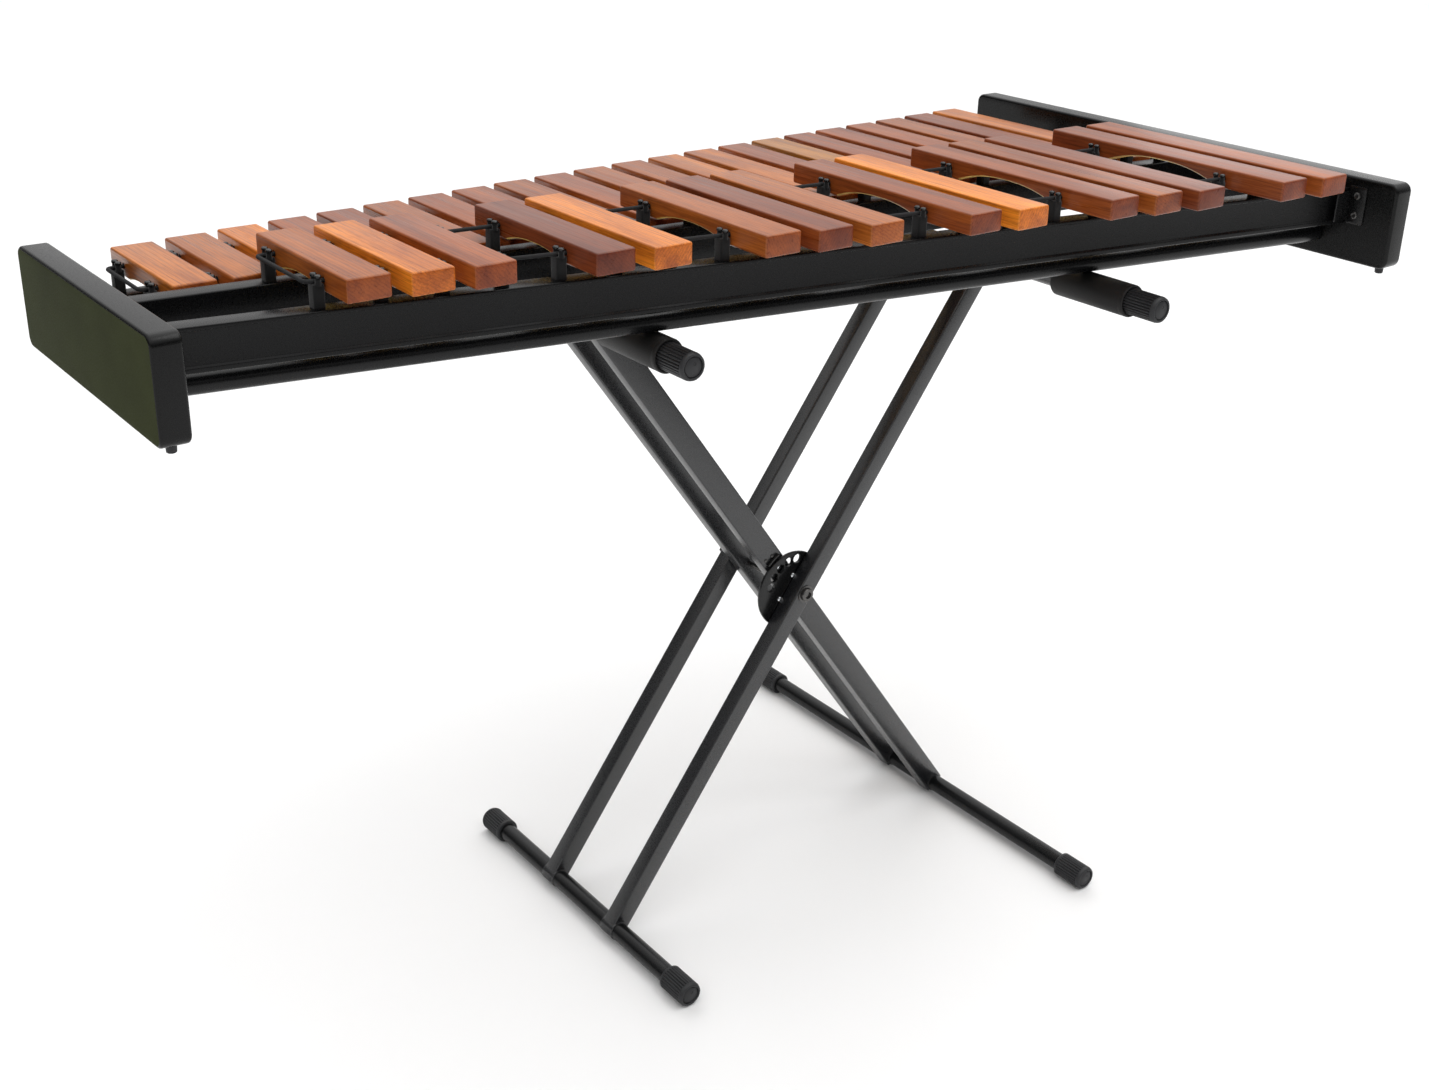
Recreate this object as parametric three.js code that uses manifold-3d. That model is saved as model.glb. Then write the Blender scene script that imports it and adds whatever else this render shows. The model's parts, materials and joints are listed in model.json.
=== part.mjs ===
// Three-octave concert xylophone on a folding X stand.
// Millimetres, Z up, X along the keyboard (low notes at +X), Y from the player's far side:
// the sharps row faces -Y. Origin: centre of the footprint on the floor.
import * as THREE from 'three';
import { mergeVertices } from 'three/addons/utils/BufferGeometryUtils.js';
import Module from 'manifold-3d';

const wasm = await Module();
wasm.setup();

// ---------- driving dimensions ----------
const CLEAR = 0.3;                 // gap between neighbouring pieces

const NAT_TOP = 743.0;             // playing face of the naturals above the floor
const SHARP_TOP = 773.0;           // playing face of the sharps
const PITCH = 49.7;                // centre to centre of the naturals
const NAT_X = -523.7;              // centre of the highest natural
const SHARP_X = -520.4;            // the same origin for the sharps row
const NAT_COUNT = 22;
const SHARP_GAPS = [1, 2, 3, 5, 6, 8, 9, 10, 12, 13, 15, 16, 17, 19, 20];
const BAR_W = 38.0;
const BAR_T = 19.5;
const BAR_EDGE = 2.0;
const CORD_DEPTH = 9.75;           // cord axis below a playing face
const CORD_R = 1.75;
const CORD_HOLE_R = 3.0;
const NODE_CLEAR = 11;             // flat left on each side of a cord hole
const ARCH_HIGH = 3.5;             // depth of the undercut, shortest bar
const ARCH_LOW = 14.0;             // and longest bar

// y = a + b * step + c * step^2, step counted in pitches from the highest bar
const NAT_FAR_END = [185.5, 4.65, -0.021];
const NAT_LENGTH = [143.0, 8.0];
const SHARP_NEAR_END = [-96.9, -9.82];
const SHARP_LENGTH = [155.8, 7.41];
const NAT_NEAR_LINE = [76.0, -2.36];
const NAT_FAR_LINE = [155.0, 2.05];
const SHARP_NEAR_LINE = [-62.0, -8.16];
const SHARP_FAR_LINE = [24.0, -4.07];

const PANEL_X = 617.15;            // outer faces
const PANEL_T = 25.2;
const PANEL_Z = [666.0, 754.0];
const PANEL_HIGH_Y = [-107.8, 193.8];
const PANEL_LOW_Y = [-309.55, 288.4];
const PANEL_CORNER = 9.5;
const PANEL_EDGE = 2.5;

const RAIL_T = 20.0;
const SHARP_RAIL_Z = [705.0, 742.0];
const NAT_RAIL_Z = [678.95, 711.0];
const POST_W = 9.0;
const POST_D = 9.6;
const POST_OVER_CORD = 6.0;

const STRETCHER_R = 9.0;
const STRETCHER_Y = [-31.4, -221.8];
const STRETCHER_Z = 687.95;

const PIVOT_X = 61.1;
const MID_Y = 23.8;                // centre plane of the leg pairs
const LEG = 401.0;                 // pivot to foot axis, and pivot to arm axis
const LEG_LEAN = 35.9;             // each leg from the vertical, degrees
const FOOT_Z = 13.0;
const LEG_A = { w: 20.0, d: 18.0, off: 57.3 };
const LEG_B = { w: 25.0, d: 17.0, off: 35.0 };
const TUBE_R = 9.5;
const TUBE_WALL = 1.5;
const LEG_WALL = 2.0;
const FOOT_A_Y = [-170.6, 218.2];
const FOOT_B_Y = [-262.0, 309.55];
const ARM_A_Y = [-268.3, 309.55];
const ARM_B_Y = [-158.6, 206.2];
const CAP_LEN = 36.5;
const CAP_R = 13.0;
const CAP_END_R = 12.0;
const SLEEVE_R = 16.0;
const SLEEVE_LEN = 93.5;
const PLUG_LEN = 36.0;             // ribbed plug beyond the sleeve
const PLUG_R = 13.0;
const PLUG_END_R = 12.2;
const BOLT_R = 4.0;
const DISC_R = 42.5;
const DISC_SHIFT = [-4.0, -1.0];   // rim centre from the pivot
const DISC_T = 3.2;
const DISC_RING = 33.0;
const DISC_HOLE_R = 5.0;
const DISC_STEP = 20.0;            // degrees between lock holes
const PIN_R = 3.4;
const KNOB_R = 8.5;

// ---------- colours ----------
const BLACK_PAINT = { color: 0x131414, roughness: 0.4, metalness: 0.0 };
const SATIN_METAL = { color: 0x2a2b2d, roughness: 0.48, metalness: 0.3 };
const RUBBER = { color: 0x1d1e1f, roughness: 0.82, metalness: 0.0 };
const CORD = { color: 0x0b0b0c, roughness: 0.95, metalness: 0.0 };
const CHROME = { color: 0xd8dade, roughness: 0.15, metalness: 1.0 };
// hardwood tones: y bright orange, o orange, l light, b brown, r red-brown, d dark, p plum
const WOOD = {
  y: 0xd67327, o: 0xb45f2a, l: 0xad6830, b: 0x9a4c24, r: 0x924422, d: 0x883e22, p: 0x7f3922,
};
const NAT_TONES = 'ooyrdbrrbrbboorlddrbdo';
const SHARP_TONES = 'byrpybdoryrbpdr';
const NAT_NOTES = ['c', 'b', 'a', 'g', 'f', 'e', 'd'];
const SHARP_NOTES = ['', 'as', 'gs', 'fs', '', 'ds', 'cs'];

const group = new THREE.Group();
group.name = 'xylophone';

function addMesh(name, geometry, look) {
  const mesh = new THREE.Mesh(geometry, new THREE.MeshStandardMaterial(look));
  mesh.name = name;
  group.add(mesh);
}

// ---------- solids ----------
function toManifold(geometry) {
  const g = geometry.clone();
  g.deleteAttribute('normal');
  g.deleteAttribute('uv');
  const merged = mergeVertices(g, 1e-4);
  return new wasm.Manifold(new wasm.Mesh({
    numProp: 3,
    vertProperties: new Float32Array(merged.attributes.position.array),
    triVerts: new Uint32Array(merged.index.array),
  }));
}

function toGeometry(solid) {
  const mesh = solid.getMesh();
  const g = new THREE.BufferGeometry();
  g.setAttribute('position', new THREE.BufferAttribute(new Float32Array(mesh.vertProperties), 3));
  g.setIndex(new THREE.BufferAttribute(new Uint32Array(mesh.triVerts), 1));
  const flat = g.toNonIndexed();
  flat.computeVertexNormals();
  return flat;
}

const joined = (solids) => wasm.Manifold.union(solids);
const poly = (coef, step) => coef.reduce((sum, c, k) => sum + c * step ** k, 0);
const rad = THREE.MathUtils.degToRad;

function ring(cx, cy, r, n, start = 0) {
  const pts = [];
  for (let i = 0; i < n; i += 1) {
    const t = start + (2 * Math.PI * i) / n;
    pts.push([cx + r * Math.cos(t), cy + r * Math.sin(t)]);
  }
  return pts;
}

function extrude(points, depth, bevel) {
  const shape = new THREE.Shape(points.map(([a, b]) => new THREE.Vector2(a, b)));
  return new THREE.ExtrudeGeometry(shape, {
    depth: depth - 2 * bevel,
    steps: 1,
    bevelEnabled: bevel > 0,
    bevelSize: bevel,
    bevelOffset: -bevel,
    bevelThickness: bevel,
    bevelSegments: 1,
  });
}

// (Y, Z) profile run along X; slope leans the run in Y
function alongX(points, x0, x1, slope = 0, bevel = 0) {
  const g = extrude(points, x1 - x0, bevel);
  g.applyMatrix4(new THREE.Matrix4().set(
    0, 0, 1, x0 + bevel,
    1, 0, slope, slope * bevel,
    0, 1, 0, 0,
    0, 0, 0, 1,
  ));
  return g;
}

// (X, Z) profile run along Y
function alongY(points, y0, y1) {
  const g = extrude(points, y1 - y0, 0);
  g.applyMatrix4(new THREE.Matrix4().set(
    1, 0, 0, 0,
    0, 0, -1, y1,
    0, 1, 0, 0,
    0, 0, 0, 1,
  ));
  return g;
}

// solid of revolution about the Y axis through (x, z); profile is [[y, r], ...]
function turned(x, z, profile, segments) {
  const rising = profile[0][0] <= profile[profile.length - 1][0];
  const ordered = rising ? profile : profile.slice().reverse();
  const g = new THREE.LatheGeometry(ordered.map(([y, r]) => new THREE.Vector2(r, y)), segments);
  g.translate(x, 0, z);
  return toManifold(g);
}

function rodY(x, z, r, y0, y1, segments) {
  return turned(x, z, [[y0, 0], [y0, r], [y1, r], [y1, 0]], segments);
}

// round cord along a polyline with mitred corners and flat ends
function sweep(route, radius, sides) {
  const pts = route.map((p) => new THREE.Vector3(...p));
  const up = new THREE.Vector3(0, 0, 1);
  const runs = pts.slice(1).map((p, i) => p.clone().sub(pts[i]).normalize());
  const rings = pts.map((p, i) => {
    const before = runs[Math.max(i - 1, 0)];
    const after = runs[Math.min(i, runs.length - 1)];
    const tangent = before.clone().add(after).normalize();
    const side = new THREE.Vector3().crossVectors(before, up).normalize();
    return ring(0, 0, radius, sides).map(([a, b]) => {
      const q = side.clone().multiplyScalar(a).addScaledVector(up, b);
      return q.addScaledVector(before, -q.dot(tangent) / before.dot(tangent)).add(p);
    });
  });
  const pos = [];
  const tri = (a, b, c) => pos.push(...a.toArray(), ...b.toArray(), ...c.toArray());
  for (let i = 0; i < rings.length - 1; i += 1) {
    for (let k = 0; k < sides; k += 1) {
      const n = (k + 1) % sides;
      tri(rings[i][k], rings[i + 1][k], rings[i + 1][n]);
      tri(rings[i][k], rings[i + 1][n], rings[i][n]);
    }
  }
  const last = rings[rings.length - 1];
  for (let k = 1; k < sides - 1; k += 1) {
    tri(rings[0][0], rings[0][k], rings[0][k + 1]);
    tri(last[0], last[k + 1], last[k]);
  }
  const g = new THREE.BufferGeometry();
  g.setAttribute('position', new THREE.Float32BufferAttribute(pos, 3));
  return toManifold(g);
}

// ---------- bars ----------
// Side profile with the tuning arch between the two cord holes, run across the bar's width.
function barSolid(xMid, near, length, top, archDepth, lines) {
  const far = near + length;
  const low = top - BAR_T;
  const holeY = lines.map(({ y }) => y);
  const a0 = Math.min(...holeY) + NODE_CLEAR;
  const a1 = Math.max(...holeY) - NODE_CLEAR;
  const c = BAR_EDGE;
  const pts = [[near, low + c], [near + c, low], [a0, low]];
  const n = 8;
  for (let i = 1; i < n; i += 1) {
    const t = Math.abs(-1 + (2 * i) / n);
    pts.push([a0 + ((a1 - a0) * i) / n, low + archDepth * (1 - t ** 2.4)]);
  }
  pts.push([a1, low], [far - c, low], [far, low + c]);
  pts.push([far, top - c], [far - c, top], [near + c, top], [near, top - c]);
  const blank = toManifold(alongX(pts, xMid - BAR_W / 2, xMid + BAR_W / 2, 0, BAR_EDGE));
  const drills = lines.map(({ y, slope }) => {
    const outline = ring(y - slope * BAR_W, top - CORD_DEPTH, CORD_HOLE_R, 8);
    return toManifold(alongX(outline, xMid - BAR_W, xMid + BAR_W, slope));
  });
  return blank.subtract(joined(drills));
}

// a cord line's position and lean at one bar
function lineAt(coef, step) {
  return { y: poly(coef, step), slope: coef[1] / PITCH };
}

function addBar(name, x, near, length, top, step, lines, color) {
  const arch = ARCH_HIGH + ((ARCH_LOW - ARCH_HIGH) * step) / (NAT_COUNT - 1);
  const solid = barSolid(x, near, length, top, arch, lines.map((coef) => lineAt(coef, step)));
  addMesh(name, toGeometry(solid), { color, roughness: 0.36, metalness: 0.0 });
}

for (let i = 0; i < NAT_COUNT; i += 1) {
  const length = poly(NAT_LENGTH, i);
  const near = poly(NAT_FAR_END, i) - length;
  const octave = 8 - Math.floor((i + 6) / 7);
  const name = `bar_${NAT_NOTES[i % 7]}${octave}`;
  const lines = [NAT_NEAR_LINE, NAT_FAR_LINE];
  addBar(name, NAT_X + PITCH * i, near, length, NAT_TOP, i, lines, WOOD[NAT_TONES[i]]);
}

SHARP_GAPS.forEach((k, j) => {
  const step = k + 0.5;
  const near = poly(SHARP_NEAR_END, step);
  const octave = 7 - Math.floor(k / 7);
  const name = `bar_${SHARP_NOTES[k % 7]}${octave}`;
  const lines = [SHARP_NEAR_LINE, SHARP_FAR_LINE];
  const x = SHARP_X + PITCH * step;
  addBar(name, x, near, poly(SHARP_LENGTH, step), SHARP_TOP, step, lines, WOOD[SHARP_TONES[j]]);
});

// ---------- end panels ----------
function panel([y0, y1], x0, x1) {
  const [z0, z1] = PANEL_Z;
  const r = PANEL_CORNER;
  const pts = [];
  const corner = (cy, cz, from) => {
    for (let i = 0; i <= 4; i += 1) {
      const t = from + (Math.PI / 2) * (i / 4);
      pts.push([cy + r * Math.cos(t), cz + r * Math.sin(t)]);
    }
  };
  corner(y0 + r, z0 + r, Math.PI);
  corner(y1 - r, z0 + r, 1.5 * Math.PI);
  corner(y1 - r, z1 - r, 0);
  corner(y0 + r, z1 - r, 0.5 * Math.PI);
  return toGeometry(toManifold(alongX(pts, x0, x1, 0, PANEL_EDGE)));
}

const INNER_X = PANEL_X - PANEL_T;
addMesh('end_panel_high', panel(PANEL_HIGH_Y, -PANEL_X, -INNER_X), BLACK_PAINT);
addMesh('end_panel_low', panel(PANEL_LOW_Y, INNER_X, PANEL_X), BLACK_PAINT);

// ---------- rails with their cord posts ----------
const RUN_X = INNER_X - CLEAR;     // rails and stretcher stop short of the panels
const natPosts = Array.from({ length: NAT_COUNT + 1 }, (_, i) => i - 0.5);
const sharpPosts = [...new Set(SHARP_GAPS.flatMap((k) => [k, k + 1]))];
const NAT_CORD_Z = NAT_TOP - CORD_DEPTH;
const SHARP_CORD_Z = SHARP_TOP - CORD_DEPTH;

function rail(coef, x0, [z0, z1], cordZ, steps) {
  const slope = coef[1] / PITCH;
  const half = RAIL_T / 2;
  const c = 1.2;
  const y = poly(coef, (-RUN_X - x0) / PITCH);
  const section = [
    [y - half, z0 + c], [y - half + c, z0], [y + half - c, z0], [y + half, z0 + c],
    [y + half, z1 - c], [y + half - c, z1], [y - half + c, z1], [y - half, z1 - c],
  ];
  const beam = toManifold(alongX(section, -RUN_X, RUN_X, slope));
  const top = cordZ + POST_OVER_CORD;
  const s = CORD_R + CLEAR;
  const d = POST_D / 2;
  const posts = steps.map((step) => {
    const yPost = poly(coef, step);
    const outline = [
      [-d, z1 - 1], [d, z1 - 1], [d, top], [s, top], [s, cordZ - s], [-s, cordZ - s], [-s, top], [-d, top],
    ].map(([a, b]) => [a + yPost - (slope * POST_W) / 2, b]);
    const x = x0 + PITCH * step;
    return toManifold(alongX(outline, x - POST_W / 2, x + POST_W / 2, slope));
  });
  return toGeometry(joined([beam, ...posts]));
}

addMesh('rail_sharps_near',
  rail(SHARP_NEAR_LINE, SHARP_X, SHARP_RAIL_Z, SHARP_CORD_Z, sharpPosts), BLACK_PAINT);
addMesh('rail_sharps_far',
  rail(SHARP_FAR_LINE, SHARP_X, SHARP_RAIL_Z, SHARP_CORD_Z, sharpPosts), BLACK_PAINT);
addMesh('rail_naturals_near',
  rail(NAT_NEAR_LINE, NAT_X, NAT_RAIL_Z, NAT_CORD_Z, natPosts), BLACK_PAINT);
addMesh('rail_naturals_far',
  rail(NAT_FAR_LINE, NAT_X, NAT_RAIL_Z, NAT_CORD_Z, natPosts), BLACK_PAINT);

// ---------- cords: one length per row, across the high end ----------
function cord(nearLine, farLine, x0, first, last, z) {
  const over = 0.25;
  const at = (coef, step) => [x0 + PITCH * step, poly(coef, step), z];
  return toGeometry(sweep([
    at(nearLine, last + over), at(nearLine, first - over),
    at(farLine, first - over), at(farLine, last + over),
  ], CORD_R, 8));
}

const sharpEnd = sharpPosts[sharpPosts.length - 1];
addMesh('cord_sharps',
  cord(SHARP_NEAR_LINE, SHARP_FAR_LINE, SHARP_X, sharpPosts[0], sharpEnd, SHARP_CORD_Z), CORD);
addMesh('cord_naturals',
  cord(NAT_NEAR_LINE, NAT_FAR_LINE, NAT_X, natPosts[0], NAT_COUNT - 0.5, NAT_CORD_Z), CORD);

// ---------- round front stretcher ----------
const stretcherSlope = (STRETCHER_Y[1] - STRETCHER_Y[0]) / (2 * RUN_X);
const stretcherRun = (r, n) => {
  const outline = ring(STRETCHER_Y[0], STRETCHER_Z, r, n, Math.PI / 2);
  return toManifold(alongX(outline, -RUN_X, RUN_X, stretcherSlope));
};
addMesh('stretcher_tube',
  toGeometry(stretcherRun(STRETCHER_R, 20).subtract(stretcherRun(STRETCHER_R - TUBE_WALL, 16))), SATIN_METAL);

// ---------- folding stand ----------
const LEAN = rad(LEG_LEAN);
const SPAN_X = LEG * Math.sin(LEAN);
const SPAN_Z = LEG * Math.cos(LEAN);
const PIVOT_Z = FOOT_Z + SPAN_Z;
const ARM_Z = PIVOT_Z + SPAN_Z;

// side -1 has its foot at the high-note side and its arm at the low-note side
function legFrame(side, leg, [armY0, armY1]) {
  const foot = { x: PIVOT_X + side * SPAN_X, z: FOOT_Z };
  const arm = { x: PIVOT_X - side * SPAN_X, z: ARM_Z };
  const dir = [-side * Math.sin(LEAN), Math.cos(LEAN)];
  const nrm = [dir[1], -dir[0]];
  const at = (s, t) => [foot.x + dir[0] * s + nrm[0] * t, foot.z + dir[1] * s + nrm[1] * t];
  const h = leg.w / 2;
  const g = h - LEG_WALL;
  const outline = [at(0, h), at(2 * LEG, h), at(2 * LEG, -h), at(0, -h)];
  const legs = [-1, 1].map((f) => {
    const y = MID_Y + f * leg.off;
    const inner = [at(-2, g), at(2 * LEG - 14, g), at(2 * LEG - 14, -g), at(-2, -g)];
    const bar = toManifold(alongY(outline, y - leg.d / 2, y + leg.d / 2));
    return bar.subtract(toManifold(alongY(inner, y - leg.d / 2 + LEG_WALL, y + leg.d / 2 - LEG_WALL)));
  });
  const inset = 6;
  const tube = rodY(arm.x, arm.z, TUBE_R, armY0 + inset, armY1 - inset, 20);
  const saddle = rodY(foot.x, foot.z, TUBE_R + CLEAR, MID_Y - 120, MID_Y + 120, 20);
  const axle = rodY(PIVOT_X, PIVOT_Z, BOLT_R, MID_Y - 120, MID_Y + 120, 12);
  const bore = rodY(arm.x, arm.z, TUBE_R - TUBE_WALL, armY0, armY1, 16);
  const solid = joined([...legs, tube]).subtract(bore).subtract(saddle).subtract(axle);
  return { foot, arm, solid };
}

const frameA = legFrame(-1, LEG_A, ARM_A_Y);
const frameB = legFrame(1, LEG_B, ARM_B_Y);

// the lock pin crosses frame B's near leg, up the leg from the pivot
const PIN_X = PIVOT_X - DISC_RING * Math.sin(LEAN);
const PIN_Z = PIVOT_Z + DISC_RING * Math.cos(LEAN);
const legBNear = MID_Y - LEG_B.off;
const pinBore = rodY(PIN_X, PIN_Z, PIN_R + CLEAR, legBNear - 20, legBNear + 20, 12);

addMesh('leg_frame_a', toGeometry(frameA.solid), SATIN_METAL);
addMesh('leg_frame_b', toGeometry(frameB.solid.subtract(pinBore)), SATIN_METAL);

function footTube(frame, [y0, y1]) {
  const tube = rodY(frame.foot.x, FOOT_Z, TUBE_R, y0 + 6, y1 - 6, 20);
  return toGeometry(tube.subtract(rodY(frame.foot.x, FOOT_Z, TUBE_R - TUBE_WALL, y0, y1, 16)));
}

addMesh('foot_tube_a', footTube(frameA, FOOT_A_Y), SATIN_METAL);
addMesh('foot_tube_b', footTube(frameB, FOOT_B_Y), SATIN_METAL);

// closed rubber cup over one end of a foot tube; f points out of the tube
function footCap(frame, end, f) {
  const at = (d) => end - f * d;
  const outer = turned(frame.foot.x, FOOT_Z, [
    [at(0), 0], [at(0), CAP_END_R - 1], [at(1), CAP_END_R], [at(5), CAP_R],
    [at(CAP_LEN), CAP_R], [at(CAP_LEN), 0],
  ], 24);
  const ends = [at(6 - CLEAR), at(CAP_LEN + 1)].sort((p, q) => p - q);
  return toGeometry(outer.subtract(rodY(frame.foot.x, FOOT_Z, TUBE_R + CLEAR, ends[0], ends[1], 20)));
}

addMesh('foot_cap_a_near', footCap(frameA, FOOT_A_Y[0], -1), RUBBER);
addMesh('foot_cap_a_far', footCap(frameA, FOOT_A_Y[1], 1), RUBBER);
addMesh('foot_cap_b_near', footCap(frameB, FOOT_B_Y[0], -1), RUBBER);
addMesh('foot_cap_b_far', footCap(frameB, FOOT_B_Y[1], 1), RUBBER);

// rubber sleeve with its stepped end plug, over one end of an arm
function armPad(frame, end, f) {
  const at = (d) => end - f * d;
  const length = PLUG_LEN + SLEEVE_LEN;
  const outer = turned(frame.arm.x, ARM_Z, [
    [at(0), 0], [at(0), PLUG_END_R - 1], [at(1), PLUG_END_R], [at(5), PLUG_R], [at(PLUG_LEN), PLUG_R],
    [at(PLUG_LEN), SLEEVE_R - 1], [at(PLUG_LEN + 1), SLEEVE_R],
    [at(length - 1), SLEEVE_R], [at(length), SLEEVE_R - 1], [at(length), 0],
  ], 24);
  const ends = [at(6 - CLEAR), at(length + 1)].sort((p, q) => p - q);
  return toGeometry(outer.subtract(rodY(frame.arm.x, ARM_Z, TUBE_R + CLEAR, ends[0], ends[1], 20)));
}

addMesh('arm_pad_a_near', armPad(frameA, ARM_A_Y[0], -1), RUBBER);
addMesh('arm_pad_a_far', armPad(frameA, ARM_A_Y[1], 1), RUBBER);
addMesh('arm_pad_b_near', armPad(frameB, ARM_B_Y[0], -1), RUBBER);
addMesh('arm_pad_b_far', armPad(frameB, ARM_B_Y[1], 1), RUBBER);

// half-round lock plate behind frame A's near leg, its holes one lock step apart
const discY = MID_Y - LEG_A.off + LEG_A.d / 2 + CLEAR;

function lockDisc() {
  const along = Math.PI / 2 - LEAN;
  const rim = [];
  for (let i = 0; i <= 18; i += 1) {
    const t = along - 0.26 + ((Math.PI + 0.52) * i) / 18;
    rim.push([
      PIVOT_X + DISC_SHIFT[0] + DISC_R * Math.cos(t),
      PIVOT_Z + DISC_SHIFT[1] + DISC_R * Math.sin(t),
    ]);
  }
  const plate = toManifold(alongY(rim, discY, discY + DISC_T));
  const cuts = [rodY(PIVOT_X, PIVOT_Z, BOLT_R, discY - 5, discY + 8, 12)];
  for (let k = -2; k <= 2; k += 1) {
    const t = Math.PI / 2 + LEAN + rad(DISC_STEP * k);
    const x = PIVOT_X + DISC_RING * Math.cos(t);
    const z = PIVOT_Z + DISC_RING * Math.sin(t);
    cuts.push(rodY(x, z, DISC_HOLE_R, discY - 5, discY + 8, 12));
  }
  return toGeometry(plate.subtract(joined(cuts)));
}

addMesh('lock_disc', lockDisc(), SATIN_METAL);

// lock pin: tip close behind the plate's hole, pull knob between the inner legs
function lockPin() {
  const tip = discY + DISC_T + CLEAR;
  const knob = legBNear + LEG_B.d / 2 + 6;
  return toGeometry(turned(PIN_X, PIN_Z, [
    [tip, 0], [tip, PIN_R - 0.8], [tip + 0.8, PIN_R], [knob, PIN_R], [knob, KNOB_R - 1],
    [knob + 1, KNOB_R], [knob + 15, KNOB_R], [knob + 16, KNOB_R - 1], [knob + 16, 0],
  ], 16));
}

addMesh('lock_pin', lockPin(), CHROME);

export default group;
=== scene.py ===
"""Three-octave xylophone on a folding X stand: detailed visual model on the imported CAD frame."""
import json
import math
import random

import bmesh
import bpy
from mathutils import Matrix, Vector
from mathutils.geometry import tessellate_polygon


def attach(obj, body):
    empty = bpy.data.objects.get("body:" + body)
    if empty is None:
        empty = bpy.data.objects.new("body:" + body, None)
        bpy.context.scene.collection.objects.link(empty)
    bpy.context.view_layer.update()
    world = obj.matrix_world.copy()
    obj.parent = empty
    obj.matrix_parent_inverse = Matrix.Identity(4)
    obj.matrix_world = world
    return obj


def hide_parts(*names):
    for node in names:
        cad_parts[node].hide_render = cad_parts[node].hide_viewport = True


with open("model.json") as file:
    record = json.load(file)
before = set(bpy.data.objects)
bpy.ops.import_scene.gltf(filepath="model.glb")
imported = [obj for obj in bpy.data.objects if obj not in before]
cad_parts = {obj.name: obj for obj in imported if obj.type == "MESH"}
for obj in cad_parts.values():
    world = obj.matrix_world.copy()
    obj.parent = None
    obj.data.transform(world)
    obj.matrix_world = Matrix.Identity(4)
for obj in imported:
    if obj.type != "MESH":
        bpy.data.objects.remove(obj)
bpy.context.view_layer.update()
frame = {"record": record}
MM = 0.001

# ---------------------------------------------------------------- dimensions, millimetres
# lines such as NAT_NEAR are polynomials in bar steps from the high end
PITCH = 49.7
NAT_X, SHARP_X = -523.7, -520.4
NAT_TOP, SHARP_TOP = 743.0, 773.0
BAR_W, BAR_T = 38.0, 19.5
CORD_DEPTH, CORD_R, CORD_HOLE_R = 9.75, 1.75, 3.0
SHARP_GAPS = [1, 2, 3, 5, 6, 8, 9, 10, 12, 13, 15, 16, 17, 19, 20]
NAT_FAR_END, NAT_LENGTH = (185.5, 4.65, -0.021), (143.0, 8.0)
SHARP_NEAR_END, SHARP_LENGTH = (-96.9, -9.82), (155.8, 7.41)
NAT_NEAR, NAT_FAR = (76.0, -2.36), (155.0, 2.05)
SHARP_NEAR, SHARP_FAR = (-62.0, -8.16), (24.0, -4.07)
INNER_X, OUTER_X = 591.95, 617.15
RUN_X = 591.65
MID_Y, PIVOT_X, FOOT_Z = 23.8, 61.1, 13.0
LEG, LEAN = 401.0, math.radians(35.9)
SPAN_X, SPAN_Z = LEG * math.sin(LEAN), LEG * math.cos(LEAN)
PIVOT_Z = FOOT_Z + SPAN_Z
ARM_Z = PIVOT_Z + SPAN_Z
TUBE_R = 9.5
LEG_A = {"w": 20.0, "d": 18.0, "off": 57.3}
LEG_B = {"w": 25.0, "d": 17.0, "off": 35.0}
PLATE_R, PLATE_T, PLATE_RING, PLATE_HOLE_R = 42.5, 3.2, 33.0, 5.0
PLATE_SHIFT = (-4.0, -1.0)
PLATE_STEP = 20
CAP_RIBS = {"segs": 196, "ribs": 28, "depth": 1.3}


def poly(c, s):
    """Polynomial with coefficients c, constant first, at s."""
    return sum(k * s ** i for i, k in enumerate(c))


# ---------------------------------------------------------------- materials
def new_material(name):
    m = bpy.data.materials.new(name)
    m.use_nodes = True
    nt = m.node_tree
    bsdf = nt.nodes["Principled BSDF"]
    tex = nt.nodes.new("ShaderNodeTexCoord")
    return m, nt, bsdf, tex


def mapping(nt, tex, scale, offset=(0, 0, 0), turn=(0, 0, 0)):
    n = nt.nodes.new("ShaderNodeMapping")
    n.inputs["Scale"].default_value = scale
    n.inputs["Location"].default_value = offset
    n.inputs["Rotation"].default_value = turn
    nt.links.new(tex.outputs["Object"], n.inputs["Vector"])
    return n.outputs["Vector"]


def noise(nt, vector, scale, detail=4.0, rough=0.55, distortion=0.0):
    n = nt.nodes.new("ShaderNodeTexNoise")
    n.inputs["Scale"].default_value = scale
    n.inputs["Detail"].default_value = detail
    n.inputs["Roughness"].default_value = rough
    n.inputs["Distortion"].default_value = distortion
    nt.links.new(vector, n.inputs["Vector"])
    return n.outputs["Fac"]


def ramp(nt, fac, stops):
    n = nt.nodes.new("ShaderNodeValToRGB")
    e = n.color_ramp.elements
    while len(e) < len(stops):
        e.new(0.5)
    for el, (p, c) in zip(e, stops):
        el.position = p
        el.color = (*c, 1.0)
    nt.links.new(fac, n.inputs["Fac"])
    return n.outputs["Color"]


def remap(nt, value, lo, hi, a=0.0, b=1.0):
    n = nt.nodes.new("ShaderNodeMapRange")
    n.inputs["From Min"].default_value = a
    n.inputs["From Max"].default_value = b
    n.inputs["To Min"].default_value = lo
    n.inputs["To Max"].default_value = hi
    nt.links.new(value, n.inputs["Value"])
    return n.outputs["Result"]


def mix(nt, fac, a, b, mode="MIX"):
    n = nt.nodes.new("ShaderNodeMix")
    n.data_type = "RGBA"
    n.blend_type = mode
    if isinstance(fac, (int, float)):
        n.inputs[0].default_value = fac
    else:
        nt.links.new(fac, n.inputs[0])
    nt.links.new(a, n.inputs[6])
    nt.links.new(b, n.inputs[7])
    return n.outputs[2]


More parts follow.
